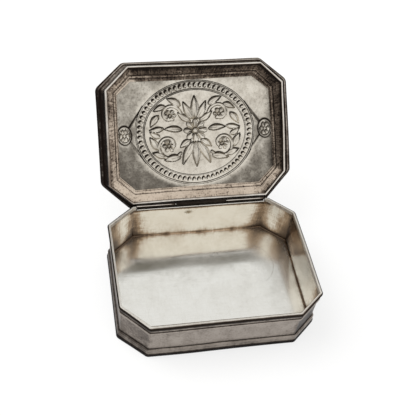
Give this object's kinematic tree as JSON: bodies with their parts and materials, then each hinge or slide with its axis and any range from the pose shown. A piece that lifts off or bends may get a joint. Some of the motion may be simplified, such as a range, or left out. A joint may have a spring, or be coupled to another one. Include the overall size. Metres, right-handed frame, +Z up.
{
  "type": "silver box",
  "caption": "Shallow metal keepsake box with canted corners, moulded foot and rim, and a hinged lid standing open; the lid's sheet has an oval beaded medallion in relief.",
  "frame": {"origin": "centre of the flat underside", "axes": "+Z up, +X along the hinge, +Y from the front towards the hinge"},
  "size_m": [0.0886, 0.1142, 0.0666],
  "materials": {
    "polished_silver": "silver worn bright by handling, fine scratches",
    "worn_silver": "satin silver with a thin warm tarnish",
    "tarnished_silver": "silver with brown tarnish in the hollows"
  },
  "bodies": {
    "body": {"base_plate": "polished_silver", "body_wall": "worn_silver", "foot_moulding": "worn_silver", "rim_moulding": "worn_silver", "rim_collar": "polished_silver", "body_hinge_bearer": "worn_silver", "hinge_knuckle_left": "polished_silver", "hinge_knuckle_right": "polished_silver", "hinge_pin": "polished_silver"},
    "lid": {"lid_rim": "polished_silver", "lid_wall": "tarnished_silver", "lid_cornice": "worn_silver", "lid_frame": "worn_silver", "lid_border": "tarnished_silver", "lid_panel": "worn_silver", "lid_hinge_bearer": "worn_silver", "hinge_knuckle_centre": "worn_silver"}
  },
  "joints": [
    {"name": "lid_hinge", "type": "hinge", "parent": "body", "child": "lid", "pos_m": [0, 0.03195, 0.0213], "axis": [1, 0, 0], "range_deg": [0, 133]}
  ]
}
